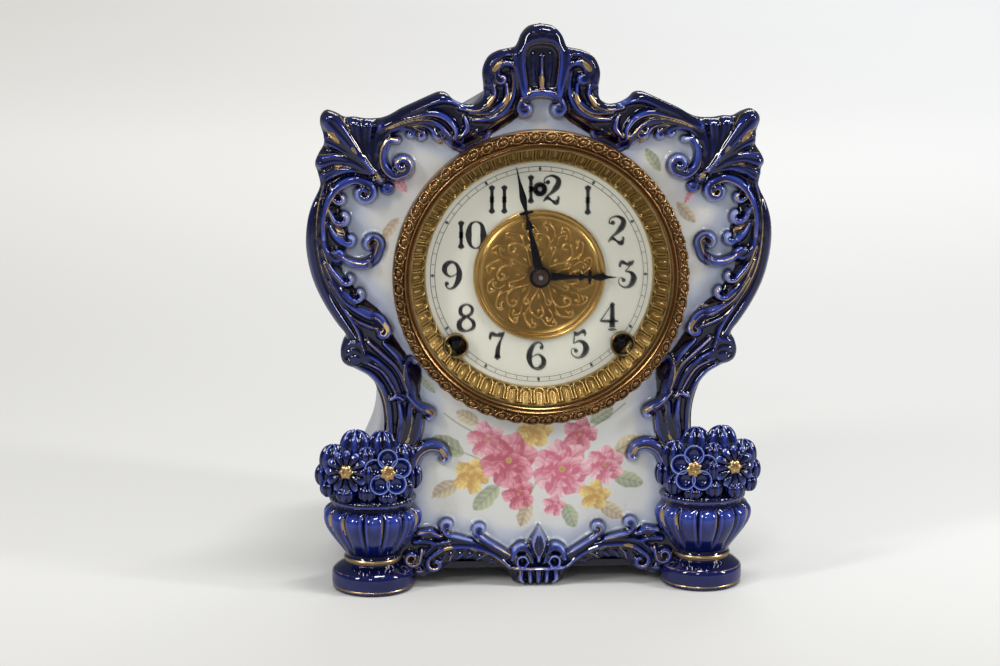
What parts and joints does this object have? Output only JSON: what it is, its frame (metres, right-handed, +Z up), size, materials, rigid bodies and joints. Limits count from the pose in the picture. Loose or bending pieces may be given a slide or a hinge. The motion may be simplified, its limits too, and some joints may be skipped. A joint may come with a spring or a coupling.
{
  "type": "porcelain mantel clock",
  "caption": "Rococo porcelain mantel clock with an opening glass bezel, a pierced foot between two half urns, and a time and strike pendulum movement inside.",
  "frame": {"origin": "under the middle of the clock, on the surface that it stands on", "axes": "+Z up, the dial faces -Y, +X to the right of someone who reads the dial"},
  "size_m": [0.2326, 0.131, 0.285],
  "materials": {
    "porcelain": "glazed porcelain, deep blue with pale panels and gilt edges",
    "brass": "lacquered brass, aged",
    "gilt": "old gilt brass, brushed and browned",
    "steel": "polished steel",
    "blue_steel": "dark blued steel",
    "enamel": "fired white enamel on copper",
    "clear_glass": "clear glass, slightly domed",
    "cast_iron": "black japanned cast iron"
  },
  "bodies": {
    "case": {"porcelain_case": "porcelain", "dial_pan": "brass", "sash_ring": "brass", "enamel_dial": "enamel", "dial_medallion": "brass", "winding_grommet_right": "brass", "winding_grommet_left": "brass", "regulator_grommet": "steel", "bezel_hinge_leaf": "brass", "bezel_hinge_pin": "steel", "back_ring": "brass", "back_hinge_pin": "steel", "tie_rod_right": "steel", "tie_rod_left": "steel", "front_plate": "brass", "back_plate": "brass", "pillar_upper_right": "brass", "pillar_upper_left": "brass", "pillar_lower_right": "brass", "pillar_lower_left": "brass", "movement_bracket_right": "steel", "movement_bracket_left": "steel", "time_mainspring": "steel", "strike_mainspring": "steel", "suspension_cock": "brass", "suspension_spring": "steel", "gong_post": "cast_iron", "gong_coil": "steel", "gong_bolt": "steel"},
    "bezel": {"bezel_ring": "gilt", "dial_glass": "clear_glass", "glass_retainer": "brass"},
    "rear_door": {"back_door": "brass", "back_door_knob": "brass"},
    "time_great": {"time_great_wheel": "brass"},
    "time_winder": {"time_winding_arbor": "steel"},
    "time_pawl": {"time_click": "steel"},
    "strike_great": {"strike_great_wheel": "brass"},
    "strike_winder": {"strike_winding_arbor": "steel"},
    "strike_pawl": {"strike_click": "steel"},
    "second": {"time_second_wheel": "brass"},
    "centre": {"centre_wheel": "brass"},
    "third": {"third_wheel": "brass"},
    "escape": {"escape_wheel": "brass"},
    "anchor": {"verge": "steel"},
    "pendulum": {"pendulum_rod": "steel", "pendulum_bob": "brass"},
    "regulator": {"regulator_arbor": "steel"},
    "minute": {"centre_arbor": "steel", "minute_hand": "blue_steel", "hand_nut": "steel"},
    "motion": {"minute_wheel": "brass"},
    "hour": {"hour_wheel": "brass", "hour_hand": "blue_steel"},
    "pins": {"pin_wheel": "brass"},
    "strike_third": {"strike_third_wheel": "brass"},
    "fan": {"fly": "brass"},
    "count": {"count_wheel": "brass"},
    "striker": {"hammer": "steel"},
    "lever": {"lift_lever": "steel"}
  },
  "joints": [
    {"name": "bezel_hinge", "type": "hinge", "parent": "case", "child": "bezel", "pos_m": [0.071, -0.04555, 0.16], "axis": [0, 0, 1], "range_deg": [0, 110]},
    {"name": "rear_door_hinge", "type": "hinge", "parent": "case", "child": "rear_door", "pos_m": [0.0616, 0.06035, 0.16], "axis": [0, 0, -1], "range_deg": [0, 110]},
    {"name": "minute_turn", "type": "hinge", "parent": "case", "child": "minute", "pos_m": [0, -0.0452, 0.16], "axis": [0, 1, 0], "continuous": true},
    {"name": "motion_turn", "type": "hinge", "parent": "case", "child": "motion", "pos_m": [0.0119, -0.0326, 0.1481], "axis": [0, 1, 0], "continuous": true},
    {"name": "hour_turn", "type": "hinge", "parent": "case", "child": "hour", "pos_m": [0, -0.043, 0.16], "axis": [0, 1, 0], "continuous": true},
    {"name": "third_turn", "type": "hinge", "parent": "case", "child": "third", "pos_m": [0.0179, -0.0155, 0.1764], "axis": [0, 1, 0], "continuous": true},
    {"name": "centre_turn", "type": "hinge", "parent": "case", "child": "centre", "pos_m": [0, -0.0225, 0.16], "axis": [0, 1, 0], "continuous": true},
    {"name": "second_turn", "type": "hinge", "parent": "case", "child": "second", "pos_m": [0.01989, -0.019, 0.14343], "axis": [0, 1, 0], "continuous": true},
    {"name": "time_great_turn", "type": "hinge", "parent": "case", "child": "time_great", "pos_m": [0.042, 0.0075, 0.125], "axis": [0, 1, 0], "continuous": true},
    {"name": "escape_turn", "type": "hinge", "parent": "case", "child": "escape", "pos_m": [0, -0.0115, 0.1845], "axis": [0, 1, 0], "continuous": true},
    {"name": "time_winding", "type": "hinge", "parent": "time_great", "child": "time_winder", "pos_m": [0.042, 0, 0.125], "axis": [0, 1, 0], "continuous": true},
    {"name": "time_click_turn", "type": "hinge", "parent": "time_great", "child": "time_pawl", "pos_m": [0.0462, 0.005, 0.139], "axis": [0, 1, 0], "range_deg": [0, 12]},
    {"name": "pendulum_swing", "type": "hinge", "parent": "case", "child": "pendulum", "pos_m": [0, 0.02005, 0.205], "axis": [0, 1, 0], "range_deg": [-4, 4]},
    {"name": "verge_swing", "type": "hinge", "parent": "case", "child": "anchor", "pos_m": [0, -0.0115, 0.199], "axis": [0, 1, 0], "range_deg": [-4.9, 4.9]},
    {"name": "regulator_turn", "type": "hinge", "parent": "case", "child": "regulator", "pos_m": [0, 0, 0.2033], "axis": [0, 1, 0], "range_deg": [-180, 180]},
    {"name": "strike_third_turn", "type": "hinge", "parent": "case", "child": "strike_third", "pos_m": [-0.026, -0.0095, 0.1686], "axis": [0, 1, 0], "continuous": true},
    {"name": "pin_turn", "type": "hinge", "parent": "case", "child": "pins", "pos_m": [-0.01989, -0.0165, 0.14343], "axis": [0, 1, 0], "continuous": true},
    {"name": "strike_great_turn", "type": "hinge", "parent": "case", "child": "strike_great", "pos_m": [-0.042, 0.0075, 0.125], "axis": [0, 1, 0], "continuous": true},
    {"name": "fly_turn", "type": "hinge", "parent": "case", "child": "fan", "pos_m": [-0.024, -0.006, 0.1847], "axis": [0, 1, 0], "continuous": true},
    {"name": "count_turn", "type": "hinge", "parent": "case", "child": "count", "pos_m": [-0.01989, 0.0147, 0.1254], "axis": [0, 1, 0], "continuous": true},
    {"name": "strike_winding", "type": "hinge", "parent": "strike_great", "child": "strike_winder", "pos_m": [-0.042, 0, 0.125], "axis": [0, 1, 0], "continuous": true},
    {"name": "strike_click_turn", "type": "hinge", "parent": "strike_great", "child": "strike_pawl", "pos_m": [-0.0378, 0.005, 0.139], "axis": [0, 1, 0], "range_deg": [0, 12]},
    {"name": "hammer_swing", "type": "hinge", "parent": "case", "child": "striker", "pos_m": [-0.047, 0, 0.158], "axis": [0, 1, 0], "range_deg": [0, 10]},
    {"name": "lever_lift", "type": "hinge", "parent": "case", "child": "lever", "pos_m": [-0.005, -0.0285, 0.12], "axis": [0, -1, 0], "range_deg": [0, 8]}
  ],
  "couplings": [
    {"joint": "motion_turn", "follows": "minute_turn", "ratio": -0.33333},
    {"joint": "hour_turn", "follows": "minute_turn", "ratio": 0.083333},
    {"joint": "centre_turn", "follows": "third_turn", "ratio": -0.08},
    {"joint": "second_turn", "follows": "third_turn", "ratio": 0.016},
    {"joint": "time_great_turn", "follows": "third_turn", "ratio": -0.0032},
    {"joint": "escape_turn", "follows": "third_turn", "ratio": -12},
    {"joint": "verge_swing", "follows": "pendulum_swing", "ratio": 1.1935},
    {"joint": "pin_turn", "follows": "strike_third_turn", "ratio": -0.2},
    {"joint": "strike_great_turn", "follows": "strike_third_turn", "ratio": 0.04},
    {"joint": "fly_turn", "follows": "strike_third_turn", "ratio": -8},
    {"joint": "count_turn", "follows": "strike_third_turn", "ratio": 0.022222}
  ]
}
